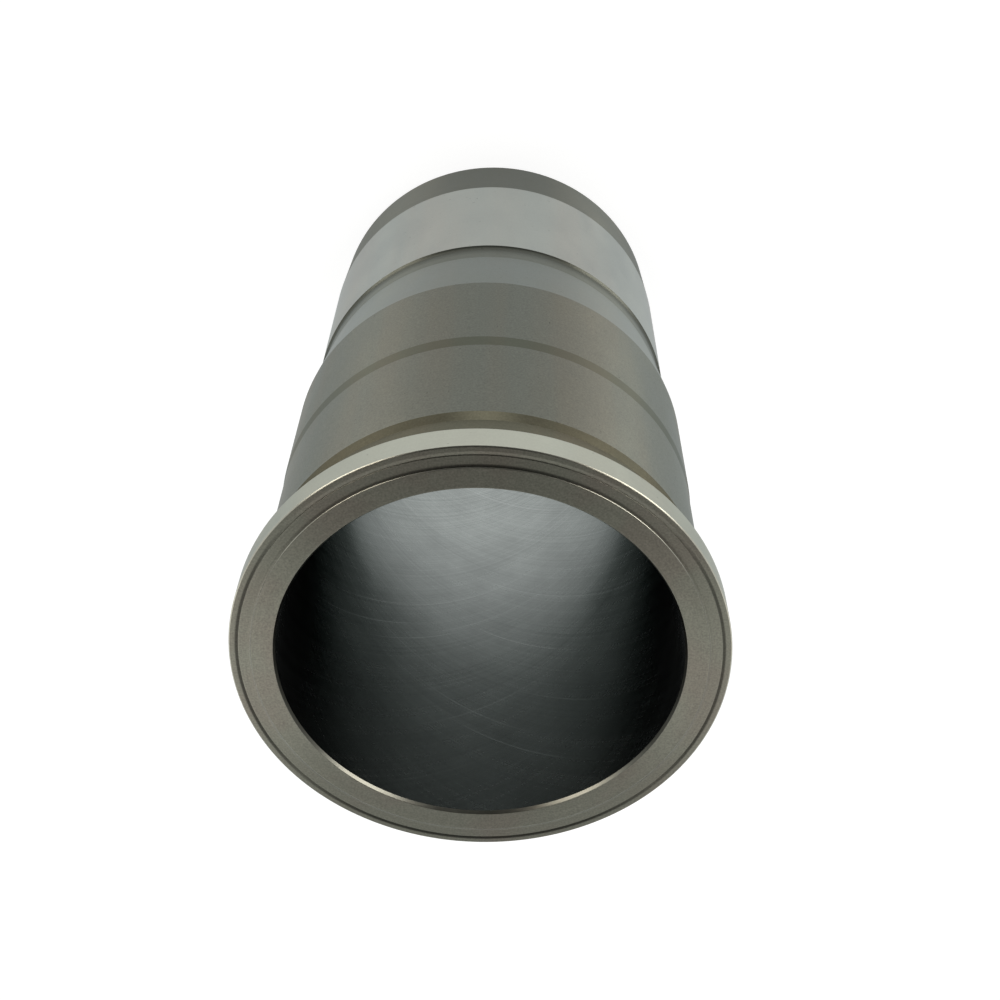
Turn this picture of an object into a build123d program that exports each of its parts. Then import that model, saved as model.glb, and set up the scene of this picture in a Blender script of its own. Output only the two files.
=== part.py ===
from build123d import *
import os
from math import cos, radians, sin, sqrt

# Cylinder liner of a heavy diesel engine, turned from one iron casting.
# It stands on its lower end face with the flange up. The bore axis is +Z, the origin is
# the centre of the lower end face, and all sizes are in millimetres.

# Bore, with a steep lead-in chamfer for the piston rings at its upper mouth
bore_radius = 65.5
upper_chamfer_width = 0.7
upper_chamfer_height = 1.1
lower_bore_chamfer = 1.0

# Walls round the bore at the pilot and at the widest belt, and how far the other
# stretches of the outside stand in from the one that they start from
pilot_wall = 5.9
lead_in_drop = 1.4
groove_depth = 0.95
lower_belt_wall = 9.2
belt_step_drop = 0.4
undercut_depth = 1.6

# Lengths of the stretches of the outside, from the lower end up to the flange
lead_in_length = 28.2
pilot_length = 62.7
groove_length = 9.1
taper_length = 33.1
lower_belt_length = 44.0
belt_step_length = 5.5
upper_belt_length = 45.7
undercut_slope_length = 2.7
undercut_length = 18.5
flange_thickness = 10.5

# Corners of the outside
tip_edge_break = 0.3
groove_corner_radius = 2.5

# Flange: its seat runs flat from just outside the widest belt to the rim
seat_clearance = 0.1
seat_width = 5.55
flange_edge_break = 0.35

# Flange face: a raised sealing ring round the bore, with a low wall that is blended into the
# face at its foot. Close to the rim runs a narrow groove with an upright inner wall and a
# sloping outer one.
ring_width = 7.8
ring_rise = 0.5
ring_wall_height = 0.12
ring_edge_break = 0.08
ring_foot_radius = 2.0
face_groove_inset = 1.85
face_groove_width = 1.3
face_groove_depth = 0.5

# Radii that follow from the bore, the walls and the steps
pilot_radius = bore_radius + pilot_wall
end_radius = pilot_radius - lead_in_drop
groove_radius = pilot_radius - groove_depth
lower_belt_radius = bore_radius + lower_belt_wall
upper_belt_radius = lower_belt_radius - belt_step_drop
undercut_radius = upper_belt_radius - undercut_depth
seat_inner_radius = lower_belt_radius + seat_clearance
flange_radius = seat_inner_radius + seat_width
ring_radius = bore_radius + ring_width
face_groove_outer = flange_radius - face_groove_inset
face_groove_inner = face_groove_outer - face_groove_width

# Heights of the corners above the lower end
pilot_bottom = lead_in_length
pilot_top = pilot_bottom + pilot_length
groove_top = pilot_top + groove_length
taper_top = groove_top + taper_length
belt_step_bottom = taper_top + lower_belt_length
belt_step_top = belt_step_bottom + belt_step_length
upper_belt_top = belt_step_top + upper_belt_length
undercut_bottom = upper_belt_top + undercut_slope_length
seat_height = undercut_bottom + undercut_length
face_height = seat_height + flange_thickness
ring_height = face_height + ring_rise

# The round-nosed cut that ends the groove meets the pilot's upper edge part-way up its arc
groove_corner = max(groove_corner_radius, groove_depth)
corner_run = sqrt(groove_corner**2 - (groove_corner - groove_depth)**2)
groove_centre = (groove_radius + groove_corner, pilot_top + corner_run)
corner_middle = (
    groove_centre[0] - sqrt(groove_corner**2 - (corner_run / 2)**2),
    groove_centre[1] - corner_run / 2,
)

# The root of the flange is a quarter round from the undercut out to the flat of the seat
root_radius = seat_inner_radius - undercut_radius
root_centre = (seat_inner_radius, seat_height - root_radius)
root_middle = (
    root_centre[0] - root_radius * cos(radians(45)),
    root_centre[1] + root_radius * sin(radians(45)),
)

# The foot of the sealing ring is an arc that leaves the face flat and ends under the low
# wall of the ring
foot_rise = ring_rise - ring_wall_height - ring_edge_break
foot_radius = max(ring_foot_radius, foot_rise)
foot_run = sqrt(foot_radius**2 - (foot_radius - foot_rise)**2)
foot_centre = (ring_radius + foot_run, face_height + foot_radius)
foot_middle = (
    foot_centre[0] - foot_run / 2,
    foot_centre[1] - sqrt(foot_radius**2 - (foot_run / 2)**2),
)

with BuildPart() as liner:
    with BuildSketch(Plane.XZ):
        with BuildLine():
            # Bore, lower end, lead-in and lower pilot
            Polyline(
                (bore_radius, ring_height - upper_chamfer_height),
                (bore_radius, lower_bore_chamfer),
                (bore_radius + lower_bore_chamfer, 0),
                (end_radius - tip_edge_break, 0),
                (end_radius, tip_edge_break),
                (pilot_radius, pilot_bottom),
                (pilot_radius, pilot_top),
            )
            # Round-nosed end of the groove above the pilot
            ThreePointArc(
                (pilot_radius, pilot_top),
                corner_middle,
                (groove_radius, groove_centre[1]),
            )
            # Groove bottom, taper, the two belts with the step between them, undercut
            Polyline(
                (groove_radius, groove_centre[1]),
                (groove_radius, groove_top),
                (lower_belt_radius, taper_top),
                (lower_belt_radius, belt_step_bottom),
                (upper_belt_radius, belt_step_top),
                (upper_belt_radius, upper_belt_top),
                (undercut_radius, undercut_bottom),
                (undercut_radius, root_centre[1]),
            )
            # Root of the flange
            ThreePointArc(
                (undercut_radius, root_centre[1]),
                root_middle,
                (seat_inner_radius, seat_height),
            )
            # Seat, rim, the face with its groove, up to the foot of the sealing ring
            Polyline(
                (seat_inner_radius, seat_height),
                (flange_radius - flange_edge_break, seat_height),
                (flange_radius, seat_height + flange_edge_break),
                (flange_radius, face_height - flange_edge_break),
                (flange_radius - flange_edge_break, face_height),
                (face_groove_outer, face_height),
                (face_groove_inner, face_height - face_groove_depth),
                (face_groove_inner, face_height),
                (ring_radius + foot_run, face_height),
            )
            # Foot of the sealing ring
            ThreePointArc(
                (ring_radius + foot_run, face_height),
                foot_middle,
                (ring_radius, face_height + foot_rise),
            )
            # Wall and top of the sealing ring, and the chamfer into the bore
            Polyline(
                (ring_radius, face_height + foot_rise),
                (ring_radius, ring_height - ring_edge_break),
                (ring_radius - ring_edge_break, ring_height),
                (bore_radius + upper_chamfer_width, ring_height),
                (bore_radius, ring_height - upper_chamfer_height),
            )
        make_face()
    revolve(axis=Axis.Z)

liner.part.label = "liner"
os.makedirs("parts", exist_ok=True)
export_step(liner.part, "parts/liner.step")
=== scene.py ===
import bmesh
import bpy
import math
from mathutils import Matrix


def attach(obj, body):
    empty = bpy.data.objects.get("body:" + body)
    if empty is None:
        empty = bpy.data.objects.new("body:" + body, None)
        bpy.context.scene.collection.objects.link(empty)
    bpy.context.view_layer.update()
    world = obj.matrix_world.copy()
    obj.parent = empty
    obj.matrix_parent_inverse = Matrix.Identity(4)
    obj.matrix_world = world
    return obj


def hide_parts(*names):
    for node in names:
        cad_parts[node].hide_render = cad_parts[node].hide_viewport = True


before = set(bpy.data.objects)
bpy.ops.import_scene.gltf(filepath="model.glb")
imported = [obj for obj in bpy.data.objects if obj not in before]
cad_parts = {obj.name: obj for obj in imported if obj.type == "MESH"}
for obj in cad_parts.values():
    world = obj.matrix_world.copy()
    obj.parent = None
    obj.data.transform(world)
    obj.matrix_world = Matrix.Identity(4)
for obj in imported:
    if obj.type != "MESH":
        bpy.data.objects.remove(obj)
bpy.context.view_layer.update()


# Cylinder liner: one iron casting, turned, ground and honed all over. Its outline is spun about
# the bore axis stretch by stretch, because each stretch keeps the finish of its own tool.
# Sizes are in millimetres, and a point is (radius, height above the lower end).
bore_radius = 65.5
end_radius = 70.0
pilot_radius = 71.4
groove_radius = 70.45
lower_belt_radius = 74.7
upper_belt_radius = 74.3
undercut_radius = 72.7
seat_inner_radius = 74.8
flange_radius = 80.35
ring_radius = 73.3

lead_in_top = 28.2
pilot_top = 90.9
groove_top = 100.0
taper_top = 133.1
lower_belt_top = 177.1
belt_step_top = 182.6
upper_belt_top = 228.3
undercut_slope_top = 231.0
seat_height = 249.5
face_height = 260.0
ring_height = 260.5

lower_bore_chamfer = 1.0
tip_edge_break = 0.3
flange_edge_break = 0.35
ring_edge_break = 0.14
mouth_width = 0.7
mouth_height = 1.1
face_groove_outer = 78.5
face_groove_inner = 77.2
face_groove_draft = 0.05
face_groove_depth = 0.2

turning_steps = 288
smallest_edge_round = 0.06
end_strip = 0.15


def arc(centre, radius, first_degrees, last_degrees, pieces):
    """Points of a round-nosed cut, from one direction to the other about its centre."""
    points = []
    for step in range(pieces + 1):
        turn = math.radians(first_degrees + (last_degrees - first_degrees) * step / pieces)
        points.append((centre[0] + radius * math.cos(turn), centre[1] + radius * math.sin(turn)))
    return points


def keep_ends_flat(outline):
    """The outline with a narrow strip at both ends of each long run, so that it shades flat."""
    points = [outline[0]]
    for (r1, z1), (r2, z2) in zip(outline, outline[1:]):
        run = math.hypot(r2 - r1, z2 - z1)
        if run > 1.0:
            for part in (end_strip / run, 1 - end_strip / run):
                points.append((r1 + (r2 - r1) * part, z1 + (z2 - z1) * part))
        points.append((r2, z2))
    return points


# the order matters, because the bevel below may choose a corner's finish by it
finish_names = [
    "honed_bore", "faced_flange", "ground_rim", "turned_undercut", "belt_skin", "belt_step",
    "turned_taper", "turned_groove", "ground_pilot", "turned_lead_in", "bright_chamfer",
    "undercut_slope", "bore_mouth", "ring_edge",
]


def spin_stretch(shape, outline, finish):
    """Spins one stretch of the outline round the bore axis and adds it with its own finish."""
    turned = bmesh.new()
    corners = [turned.verts.new((r / 1000, 0, z / 1000)) for r, z in keep_ends_flat(outline)]
    chain = [turned.edges.new(pair) for pair in zip(corners, corners[1:])]
    bmesh.ops.spin(
        turned, geom=corners + chain, cent=(0, 0, 0), axis=(0, 0, 1), dvec=(0, 0, 0),
        angle=math.tau, steps=turning_steps, use_merge=True, use_normal_flip=False,
        use_duplicate=False,
    )
    for face in turned.faces:
        face.material_index = finish_names.index(finish)
    stretch_mesh = bpy.data.meshes.new("stretch")
    turned.to_mesh(stretch_mesh)
    turned.free()
    shape.from_mesh(stretch_mesh)
    bpy.data.meshes.remove(stretch_mesh)


casting = bmesh.new()

# the bore, the lower end and the lead-in below the pilot
mouth_bottom = (bore_radius, ring_height - mouth_height)
bore_bottom = (bore_radius, lower_bore_chamfer)
tip = (end_radius, tip_edge_break)
spin_stretch(casting, [mouth_bottom, bore_bottom], "honed_bore")
spin_stretch(casting, [bore_bottom, (bore_radius + lower_bore_chamfer, 0),
                       (end_radius - tip_edge_break, 0), tip], "turned_lead_in")
spin_stretch(casting, [tip, (pilot_radius, lead_in_top)], "turned_lead_in")
spin_stretch(casting, [(pilot_radius, lead_in_top), (pilot_radius, pilot_top)], "ground_pilot")

# the groove, whose round-nosed end meets the pilot's upper edge part-way up its arc
nose_radius = 2.5
nose_rise = pilot_radius - groove_radius
nose_run = math.sqrt(nose_radius ** 2 - (nose_radius - nose_rise) ** 2)
nose_centre = (groove_radius + nose_radius, pilot_top + nose_run)
nose_start = math.degrees(math.atan2(-nose_run, -(nose_radius - nose_rise))) % 360
groove_nose = arc(nose_centre, nose_radius, nose_start, 180, 6)
spin_stretch(casting, groove_nose + [(groove_radius, groove_top)], "turned_groove")

# the taper, the two belts with the step between them, and the slope into the undercut
taper_foot = (groove_radius, groove_top)
lower_belt = [(lower_belt_radius, taper_top), (lower_belt_radius, lower_belt_top)]
upper_belt = [(upper_belt_radius, belt_step_top), (upper_belt_radius, upper_belt_top)]
slope_end = (undercut_radius, undercut_slope_top)
spin_stretch(casting, [taper_foot, lower_belt[0]], "turned_taper")
spin_stretch(casting, lower_belt, "belt_skin")
spin_stretch(casting, [lower_belt[1], upper_belt[0]], "belt_step")
spin_stretch(casting, upper_belt, "belt_skin")
spin_stretch(casting, [upper_belt[1], slope_end], "undercut_slope")

# the root of the flange, from the undercut out to the flat of the seat, and the rim
root_radius = seat_inner_radius - undercut_radius
flange_root = arc((seat_inner_radius, seat_height - root_radius), root_radius, 180, 90, 6)
edge_radius = flange_radius - flange_edge_break
rim = [(flange_radius, seat_height + flange_edge_break),
       (flange_radius, face_height - flange_edge_break)]
spin_stretch(casting, [slope_end] + flange_root, "turned_undercut")
spin_stretch(casting, [(seat_inner_radius, seat_height), (edge_radius, seat_height)],
             "turned_undercut")
spin_stretch(casting, [(edge_radius, seat_height), rim[0]], "bright_chamfer")
spin_stretch(casting, rim, "ground_rim")
spin_stretch(casting, [rim[1], (edge_radius, face_height)], "bright_chamfer")

# the face with its groove, up the foot of the sealing ring, which is an arc that leaves the
# face flat and ends under the ring's low wall
foot_radius = 2.0
foot_rise = 0.3
foot_run = math.sqrt(foot_radius ** 2 - (foot_radius - foot_rise) ** 2)
ring_foot = arc((ring_radius + foot_run, face_height + foot_radius), foot_radius,
                -90, -90 - math.degrees(math.asin(foot_run / foot_radius)), 5)
face_groove = [(face_groove_outer, face_height),
               (face_groove_inner + face_groove_draft, face_height - face_groove_depth),
               (face_groove_inner, face_height)]
spin_stretch(casting, [(edge_radius, face_height)] + face_groove + ring_foot, "faced_flange")

# the sealing ring and the chamfer into the bore
ring_edge = (ring_radius - ring_edge_break, ring_height)
mouth_top = (bore_radius + mouth_width, ring_height)
spin_stretch(casting, [(ring_radius, face_height + foot_rise),
                       (ring_radius, ring_height - ring_edge_break), ring_edge], "ring_edge")
spin_stretch(casting, [ring_edge, mouth_top], "faced_flange")
spin_stretch(casting, [mouth_top, mouth_bottom], "bore_mouth")

bmesh.ops.remove_doubles(casting, verts=casting.verts, dist=1e-6)
corner_rings = [
    edge for edge in casting.edges
    if edge.is_manifold and edge.calc_face_angle() > math.radians(30)
]
bmesh.ops.bevel(
    casting, geom=corner_rings, offset=smallest_edge_round / 1000, offset_type="OFFSET",
    affect="EDGES", segments=2, profile=0.5, material=-1, clamp_overlap=True,
)
bmesh.ops.recalc_face_normals(casting, faces=casting.faces)
for face in casting.faces:
    face.smooth = True
for edge in casting.edges:
    if edge.is_manifold and edge.calc_face_angle() > math.radians(35):
        edge.smooth = False

liner_mesh = bpy.data.meshes.new("turned_liner")
casting.to_mesh(liner_mesh)
casting.free()
liner = bpy.data.objects.new("turned_liner", liner_mesh)
bpy.context.scene.collection.objects.link(liner)


# Finishes of the liner: bare grey iron as the lathe, the grinder and the hone leave it. Fine
# rings run round the axis, with faint cloudy stains, a few pits and small changes of gloss.
def shade(red, green, blue):
    """A colour given as 0 to 255 on a screen, as the shader wants it."""
    parts = []
    for part in (red, green, blue):
        level = part / 255
        parts.append(level / 12.92 if level <= 0.04045 else ((level + 0.055) / 1.055) ** 2.4)
    return (*parts, 1.0)


def new_finish(name, lay, edge):
    """An empty finish: a metal shader whose fine marks run round the axis, as much as lay says,
    and which keeps as much of its shine at a low angle as edge says, a little cooler there."""
    finish = bpy.data.materials.new(name)
    finish.use_nodes = True
    tree = finish.node_tree
    metal = tree.nodes["Principled BSDF"]
    metal.inputs["Metallic"].default_value = 1.0
    metal.inputs["Anisotropic"].default_value = lay
    metal.inputs["Anisotropic Rotation"].default_value = 0.25
    metal.inputs["Specular Tint"].default_value = (edge * 0.98, edge * 1.05, edge * 1.11, 1.0)
    round_axis = tree.nodes.new("ShaderNodeTangent")
    round_axis.direction_type = "RADIAL"
    round_axis.axis = "Z"
    tree.links.new(round_axis.outputs["Tangent"], metal.inputs["Tangent"])
    return tree, metal


def place_on_piece(tree):
    """The place on the piece in metres, whole and as its X, Y and Z."""
    place = tree.nodes.new("ShaderNodeTexCoord").outputs["Object"]
    parts = tree.nodes.new("ShaderNodeSeparateXYZ")
    tree.links.new(place, parts.inputs[0])
    return place, parts.outputs


def grain(tree, place, scale, detail=2.0, roughness=0.5):
    """Soft random value from 0 to 1 that follows a place stretched by three scales."""
    stretch = tree.nodes.new("ShaderNodeMapping")
    stretch.inputs["Scale"].default_value = scale
    tree.links.new(place, stretch.inputs["Vector"])
    noise = tree.nodes.new("ShaderNodeTexNoise")
    noise.inputs["Scale"].default_value = 1.0
    noise.inputs["Detail"].default_value = detail
    noise.inputs["Roughness"].default_value = roughness
    tree.links.new(stretch.outputs["Vector"], noise.inputs["Vector"])
    return noise.outputs["Fac"]


def fit_range(tree, value, from_low, from_high, to_low, to_high, smooth=False):
    """A value moved from one range to another and held inside it."""
    move = tree.nodes.new("ShaderNodeMapRange")
    move.interpolation_type = "SMOOTHSTEP" if smooth else "LINEAR"
    for name, number in zip(("From Min", "From Max", "To Min", "To Max"),
                            (from_low, from_high, to_low, to_high)):
        move.inputs[name].default_value = number
    tree.links.new(value, move.inputs["Value"])
    return move.outputs["Result"]


def vary(tree, marks, share):
    """A factor near 1 that follows soft random marks by a share up and down."""
    return fit_range(tree, marks, 0.3, 0.7, 1 - share, 1 + share)


def work_out(tree, kind, first, second=0.0):
    """One sum on two values, either of which may be a plain number."""
    sum_node = tree.nodes.new("ShaderNodeMath")
    sum_node.operation = kind
    for socket, value in zip(sum_node.inputs, (first, second)):
        if isinstance(value, (int, float)):
            socket.default_value = value
        else:
            tree.links.new(value, socket)
    return sum_node.outputs[0]


def times(tree, first, second):
    """Two values multiplied."""
    return work_out(tree, "MULTIPLY", first, second)


def cut_by(tree, value, share):
    """A value made less by a share of itself."""
    return times(tree, value, work_out(tree, "SUBTRACT", 1.0, share))


def blend_colour(tree, amount, first, second, kind="MIX"):
    """Two colours mixed by an amount."""
    mix = tree.nodes.new("ShaderNodeMix")
    mix.data_type = "RGBA"
    mix.blend_type = kind
    for index, value in ((0, amount), (6, first), (7, second)):
        if isinstance(value, (int, float, tuple)):
            mix.inputs[index].default_value = value
        else:
            tree.links.new(value, mix.inputs[index])
    return mix.outputs[2]


def shade_by(tree, colour, factor):
    """A colour made lighter or darker by a factor near 1."""
    grey = tree.nodes.new("ShaderNodeCombineColor")
    for socket in grey.inputs:
        tree.links.new(factor, socket)
    return blend_colour(tree, 1.0, colour, grey.outputs[0], "MULTIPLY")


def raise_marks(tree, metal, height, strength, depth):
    """Marks that stand in or out of the surface by a depth in metres."""
    bump = tree.nodes.new("ShaderNodeBump")
    bump.inputs["Strength"].default_value = strength
    bump.inputs["Distance"].default_value = depth
    tree.links.new(height, bump.inputs["Height"])
    tree.links.new(bump.outputs["Normal"], metal.inputs["Normal"])


def turned_iron(name, colour, painted_streak_colour, gloss, lay, rings, clouds, streaks, speckle, pits,
                ring_scale=2600, edge=0.75, painted_shade_sides=None, painted_shade_foot=None):
    """Iron turned or ground round the bore axis, with rings along its height, and upright streaks
    of a second colour, painted in for reflections of the room. Painted shade sides give two
    distances to the sides, and a painted shade foot two heights, between which the colour is
    painted darker as shade, and how much of it is left there."""
    tree, metal = new_finish(name, lay, edge)
    place, along = place_on_piece(tree)
    ring_marks = grain(tree, place, (14, 14, ring_scale), 3.0, 0.7)
    cloud_marks = grain(tree, place, (55, 55, 30), 5.0, 0.6)
    streak_marks = grain(tree, place, (45, 45, 3), 3.0, 0.5)
    speckle_marks = grain(tree, place, (1500, 1500, 1500), 2.0, 0.6)
    pit_marks = grain(tree, place, (700, 700, 700), 1.0, 0.5)
    # upright streaks at random places in the second colour: painted reflections of the room
    body = blend_colour(tree, fit_range(tree, streak_marks, 0.4, 0.7, 0.0, streaks, True),
                        shade(*colour), shade(*painted_streak_colour))
    tone = times(tree, vary(tree, ring_marks, rings), vary(tree, cloud_marks, clouds))
    tone = times(tree, tone, vary(tree, speckle_marks, speckle))
    # painted shade: the colour is darker towards the left and right sides
    if painted_shade_sides:
        near, far, left = painted_shade_sides
        off_centre = work_out(tree, "ABSOLUTE", along["X"])
        tone = times(tree, tone, fit_range(tree, off_centre, near, far, 1.0, left, True))
    # painted shade: the colour is darker towards the foot, below a given height
    if painted_shade_foot:
        low, high, left = painted_shade_foot
        tone = times(tree, tone, fit_range(tree, along["Z"], low, high, left, 1.0))
    tone = times(tree, tone, fit_range(tree, pit_marks, 0.74, 0.8, 1.0, 1 - pits, True))
    tree.links.new(shade_by(tree, body, tone), metal.inputs["Base Color"])
    tree.links.new(fit_range(tree, cloud_marks, 0.3, 0.7, gloss - 0.04, gloss + 0.04),
                   metal.inputs["Roughness"])
    raised = work_out(tree, "ADD", ring_marks, times(tree, speckle_marks, speckle * 8))
    raise_marks(tree, metal, raised, 0.2, 0.00001)


# Honed bore: the working surface, plateau honed to a cool half gloss with two crossing sets
# of fine helical marks, and a few long light scratches from the stones. Its colour carries
# painted light and shade: lighter deep down, darker towards the mouth, and darker on one side.
def helix_place(tree, lead):
    """The place on the bore twisted with its height, so that one helix lies on one line."""
    place, along = place_on_piece(tree)
    twist = tree.nodes.new("ShaderNodeVectorRotate")
    twist.rotation_type = "Z_AXIS"
    tree.links.new(place, twist.inputs["Vector"])
    tree.links.new(times(tree, along["Z"], lead), twist.inputs["Angle"])
    return twist.outputs["Vector"]


hone_angle = 32
hone_lead = 1000 / (bore_radius * math.tan(math.radians(hone_angle)))
tree, metal = new_finish("honed_bore", 0.6, 0.05)
place, along = place_on_piece(tree)
hatches = [helix_place(tree, hone_lead), helix_place(tree, -hone_lead)]
fine = work_out(tree, "ADD", *[grain(tree, hatch, (2200, 2200, 9), 2.0, 0.6) for hatch in hatches])
broad = work_out(tree, "ADD", *[grain(tree, hatch, (420, 420, 12), 2.0, 0.5) for hatch in hatches])
scratches = work_out(tree, "MAXIMUM", *[
    fit_range(tree, grain(tree, hatch, (900, 900, 22), 0.0, 0.5), 0.76, 0.86, 0.0, 1.0, True)
    for hatch in hatches
])
tone = times(tree, fit_range(tree, fine, 0.7, 1.3, 0.86, 1.14),
             fit_range(tree, broad, 0.7, 1.3, 0.9, 1.1))
tone = times(tree, tone, vary(tree, grain(tree, place, (60, 60, 40), 4.0, 0.6), 0.07))
# painted light and shade: lighter deep in the bore, darker towards the mouth
tone = times(tree, tone, fit_range(tree, along["Z"], 0.05, 0.23, 1.3, 0.42, True))
# painted shade: darker on the left side of the bore and a little on the right, near the mouth
painted_side_shade = work_out(tree, "MAXIMUM", fit_range(tree, along["X"], -0.015, -0.04, 0.0, 0.25),
                       fit_range(tree, along["X"], 0.02, 0.045, 0.0, 0.1))
tone = cut_by(tree, tone, times(tree, fit_range(tree, along["Z"], 0.1, 0.16, 0.0, 1.0), painted_side_shade))
tree.links.new(blend_colour(tree, times(tree, scratches, 0.25),
                            shade_by(tree, shade(156, 161, 159), tone), shade(205, 209, 208)),
               metal.inputs["Base Color"])
tree.links.new(fit_range(tree, broad, 0.7, 1.3, 0.22, 0.28), metal.inputs["Roughness"])
raise_marks(tree, metal, fine, 0.08, 0.00001)

# Chamfer at the mouth of the bore, duller than the edge breaks, with painted shade darkening its
# left and right sides.
turned_iron("bore_mouth", (121, 120, 111), (108, 106, 97), gloss=0.3, lay=0.0, rings=0.02,
            clouds=0.1, streaks=0.8, speckle=0.05, pits=0.0, painted_shade_sides=(0.045, 0.06, 0.35))


# Faced flange: the flat end face with its narrow groove and its raised sealing ring, left matt
# by the facing tool, warm grey, grainy and ringed round the bore. Painted shade darkens the
# groove at the sides and the front, and the foot of the ring.
def inside(tree, value, start, full, fade, end):
    """1 inside a band of a value, falling to 0 at its two ends."""
    return times(tree, fit_range(tree, value, start, full, 0.0, 1.0),
                 fit_range(tree, value, fade, end, 1.0, 0.0))


groove_inner, groove_outer = face_groove_inner / 1000, face_groove_outer / 1000
ring_outer = ring_radius / 1000
tree, metal = new_finish("faced_flange", 0.75, 0.9)
place, along = place_on_piece(tree)
flat = tree.nodes.new("ShaderNodeCombineXYZ")
tree.links.new(along["X"], flat.inputs["X"])
tree.links.new(along["Y"], flat.inputs["Y"])
length = tree.nodes.new("ShaderNodeVectorMath")
length.operation = "LENGTH"
tree.links.new(flat.outputs[0], length.inputs[0])
radius = length.outputs["Value"]
rings_out = tree.nodes.new("ShaderNodeCombineXYZ")
for value, socket in zip((radius, along["X"], along["Y"]), rings_out.inputs):
    tree.links.new(value, socket)
face_rings = grain(tree, rings_out.outputs[0], (1900, 12, 12), 2.0, 0.6)
face_grain = grain(tree, place, (1500, 1500, 1500), 2.0, 0.6)
face_clouds = grain(tree, place, (40, 40, 40), 3.0, 0.5)
tone = times(tree, vary(tree, face_rings, 0.05), vary(tree, face_grain, 0.18))
in_groove = inside(tree, radius, groove_inner, groove_inner + 0.0003,
                   groove_outer - 0.0004, groove_outer)
# painted shade in the groove, at the left and right sides and the front
painted_groove_shade = work_out(tree, "MAXIMUM",
                   fit_range(tree, work_out(tree, "ABSOLUTE", along["X"]), 0.05, 0.074,
                             0.0, 0.65, True),
                   fit_range(tree, along["Y"], -0.04, -0.07, 0.0, 0.65))
tone = cut_by(tree, tone, times(tree, in_groove, painted_groove_shade))
# painted shade in the corner at the foot of the ring
painted_ring_foot_shade = inside(tree, radius, ring_outer - 0.00005, ring_outer,
                 ring_outer + 0.0005, ring_outer + 0.0011)
tone = cut_by(tree, tone, times(tree, painted_ring_foot_shade, 0.4))
warm = blend_colour(tree, fit_range(tree, face_clouds, 0.4, 0.65, 0.0, 1.0, True),
                    shade(130, 129, 117), shade(129, 124, 113))
tree.links.new(shade_by(tree, warm, tone), metal.inputs["Base Color"])
metal.inputs["Roughness"].default_value = 0.38
raise_marks(tree, metal, face_grain, 0.3, 0.00003)

# Edge of the sealing ring, left bright, with painted shade darkening it at the left and right sides.
turned_iron("ring_edge", (176, 174, 162), (166, 162, 148), gloss=0.3, lay=0.3, rings=0.02,
            clouds=0.03, streaks=0.5, speckle=0.03, pits=0.0, painted_shade_sides=(0.056, 0.068, 0.3))

# Ground rim and its edge breaks, which are cut last and left bright.
turned_iron("ground_rim", (178, 180, 168), (175, 174, 161), gloss=0.4, lay=0.0, rings=0.02,
            clouds=0.03, streaks=0.4, speckle=0.03, pits=0.3, edge=0.45)
turned_iron("bright_chamfer", (170, 168, 156), (160, 156, 142), gloss=0.3, lay=0.5, rings=0.02,
            clouds=0.03, streaks=0.5, speckle=0.03, pits=0.0)

# Undercut that stands in behind the flange, and the slope into it, left rough and brown.
turned_iron("turned_undercut", (99, 98, 84), (109, 102, 86), gloss=0.5, lay=0.3, rings=0.05,
            clouds=0.06, streaks=0.6, speckle=0.1, pits=0.3, ring_scale=1400)
# painted highlight: the slope is lightest near the middle plane and darker towards the left and
# right sides
turned_iron("undercut_slope", (123, 121, 104), (128, 122, 102), gloss=0.6, lay=0.0, rings=0.05,
            clouds=0.06, streaks=0.6, speckle=0.1, pits=0.3, painted_shade_sides=(0.0, 0.015, 0.48))

# Belts that sit in the block, and the narrow step between them: a brownish skin with soft
# upright warmer streaks, painted in for reflections of the room. The shallow step is coloured a
# little darker.
turned_iron("belt_skin", (112, 114, 105), (118, 114, 102), gloss=0.42, lay=0.8, rings=0.03,
            clouds=0.05, streaks=0.7, speckle=0.16, pits=0.4)
turned_iron("belt_step", (96, 98, 86), (103, 98, 84), gloss=0.42, lay=0.8, rings=0.02,
            clouds=0.04, streaks=0.7, speckle=0.05, pits=0.2)

# Taper and groove above the pilot, both straight off the turning tool. Painted shade darkens
# the corner of the groove under the pilot's edge.
turned_iron("turned_taper", (124, 127, 120), (128, 127, 118), gloss=0.38, lay=0.8, rings=0.03,
            clouds=0.05, streaks=0.5, speckle=0.06, pits=0.3, edge=0.8)
turned_iron("turned_groove", (111, 113, 104), (104, 104, 93), gloss=0.4, lay=0.8, rings=0.06,
            clouds=0.04, streaks=0.5, speckle=0.05, pits=0.2, ring_scale=1400, edge=0.85,
            painted_shade_foot=(0.091, 0.097, 0.58))

# Ground pilot, and the duller lead-in below it.
turned_iron("ground_pilot", (165, 168, 162), (169, 166, 158), gloss=0.38, lay=0.5, rings=0.02,
            clouds=0.05, streaks=0.6, speckle=0.03, pits=0.35, edge=0.58)
turned_iron("turned_lead_in", (112, 113, 105), (115, 114, 105), gloss=0.42, lay=0.8, rings=0.04,
            clouds=0.04, streaks=0.5, speckle=0.04, pits=0.2, edge=0.6)

for name in finish_names:
    liner_mesh.materials.append(bpy.data.materials[name])

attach(liner, "root")
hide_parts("liner")


# Studio: a pale floor that the liner stands on, in a pale room that is darker overhead and high
# up in front. One soft lamp stands behind, one at each back corner, and two small ones low in
# front.
bpy.context.scene.view_settings.view_transform = "Standard"

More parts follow.
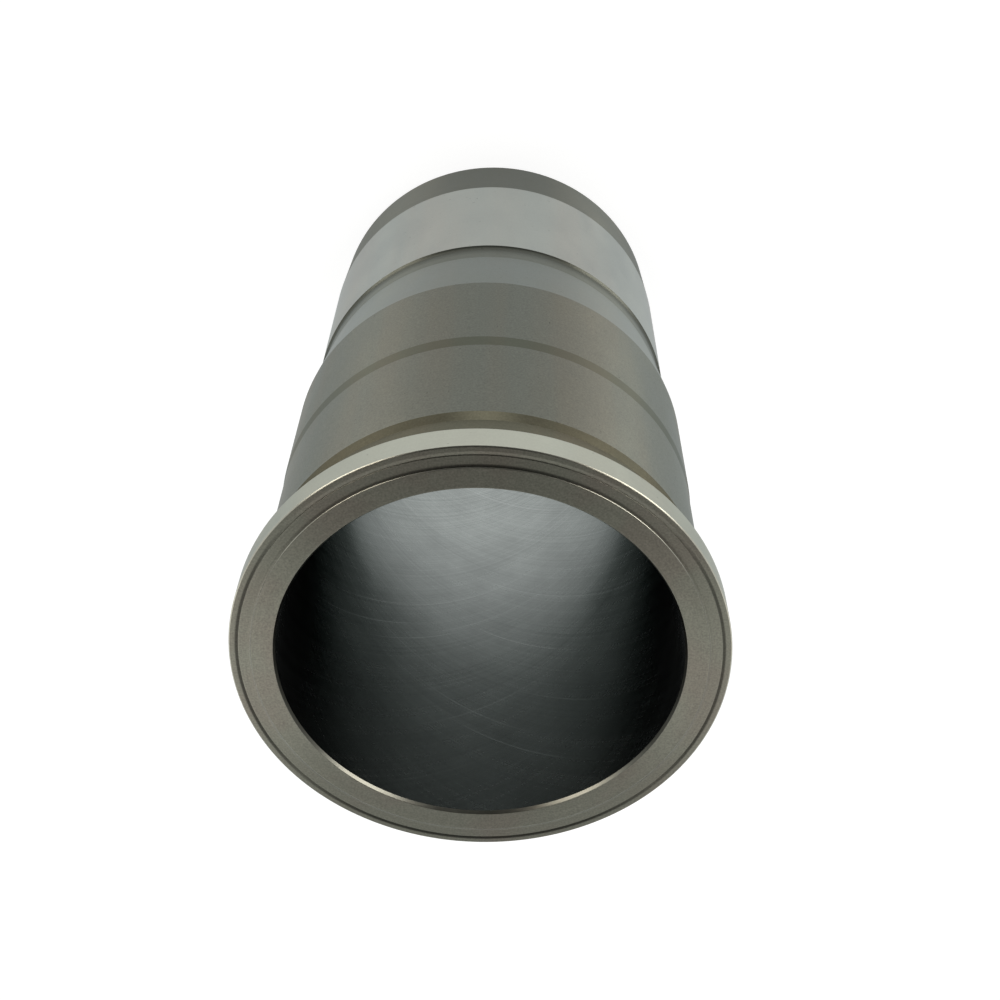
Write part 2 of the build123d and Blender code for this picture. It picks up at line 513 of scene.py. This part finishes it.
room = bpy.data.worlds.new("pale_room")
room.use_nodes = True
tree = room.node_tree
tree.nodes["Background"].inputs["Color"].default_value = (0.97, 1.0, 0.99, 1.0)
heading = tree.nodes.new("ShaderNodeSeparateXYZ")
tree.links.new(tree.nodes.new("ShaderNodeTexCoord").outputs["Generated"], heading.inputs[0])
high_in_front = times(tree, heading.outputs["Y"], heading.outputs["Z"])
tree.links.new(times(tree, fit_range(tree, heading.outputs["Z"], 0.4, 0.9, 1.0, 0.15),
                     fit_range(tree, high_in_front, 0.0, 0.25, 1.0, 0.05)),
               tree.nodes["Background"].inputs["Strength"])
bpy.context.scene.world = room

floor_half_width = 6.0
floor_shape = bmesh.new()
bmesh.ops.create_grid(floor_shape, x_segments=1, y_segments=1, size=floor_half_width)
floor_mesh = bpy.data.meshes.new("studio_floor")
floor_shape.to_mesh(floor_mesh)
floor_shape.free()
floor = bpy.data.objects.new("studio_floor", floor_mesh)
bpy.context.scene.collection.objects.link(floor)

paint = bpy.data.materials.new("pale_floor")
paint.use_nodes = True
tree = paint.node_tree
matt = tree.nodes["Principled BSDF"]
matt.inputs["Base Color"].default_value = (0.3, 0.3, 0.3, 1.0)
matt.inputs["Roughness"].default_value = 0.9
matt.inputs["Specular IOR Level"].default_value = 0.0
ray = tree.nodes.new("ShaderNodeLightPath")
seen = work_out(tree, "MAXIMUM", ray.outputs["Is Camera Ray"],
                work_out(tree, "MAXIMUM", ray.outputs["Is Glossy Ray"],
                         ray.outputs["Is Transmission Ray"]))
matt.inputs["Emission Color"].default_value = (1.0, 1.0, 1.0, 1.0)
tree.links.new(times(tree, seen, 0.85), matt.inputs["Emission Strength"])
floor_mesh.materials.append(paint)


def soft_lamp(name, place, aim, size, power, colour=(1.0, 1.0, 1.0)):
    """A square soft lamp that points from its place to its aim."""
    lamp = bpy.data.lights.new(name, "AREA")
    lamp.shape = "SQUARE"
    lamp.size = size
    lamp.energy = power
    lamp.color = colour
    holder = bpy.data.objects.new(name, lamp)
    bpy.context.scene.collection.objects.link(holder)
    holder.location = place
    away = [b - a for a, b in zip(place, aim)]
    holder.rotation_euler = (
        math.atan2(math.hypot(away[0], away[1]), -away[2]), 0,
        math.atan2(away[1], away[0]) - math.pi / 2,
    )


barrel_middle = (0, 0, 0.1)
barrel_top = (0, 0, 0.2)
soft_lamp("back_lamp", (0.0, -1.6, 0.8), barrel_top, 1.2, 2.5)
soft_lamp("left_side_lamp", (-1.25, -1.0, 1.0), barrel_middle, 1.6, 11)
soft_lamp("right_side_lamp", (1.25, -1.0, 1.0), barrel_middle, 1.6, 8)
soft_lamp("left_front_lamp", (-1.07, 0.92, 0.4), barrel_middle, 0.7, 7, (1.0, 0.94, 0.86))
soft_lamp("right_front_lamp", (1.15, 0.8, 0.4), barrel_middle, 0.8, 10.5, (1.0, 0.97, 0.93))

# Camera: held above and in front of the flange, looking down into the bore.
lens = bpy.data.cameras.new("photo_camera")
lens.sensor_width = 36.0
lens.lens = 53.39
camera = bpy.data.objects.new("photo_camera", lens)
camera.location = (0.00515, 0.29958, 0.63146)
camera.rotation_euler = (math.radians(-32.607), math.radians(0.848), math.radians(1.289))
bpy.context.scene.collection.objects.link(camera)
bpy.context.scene.camera = camera
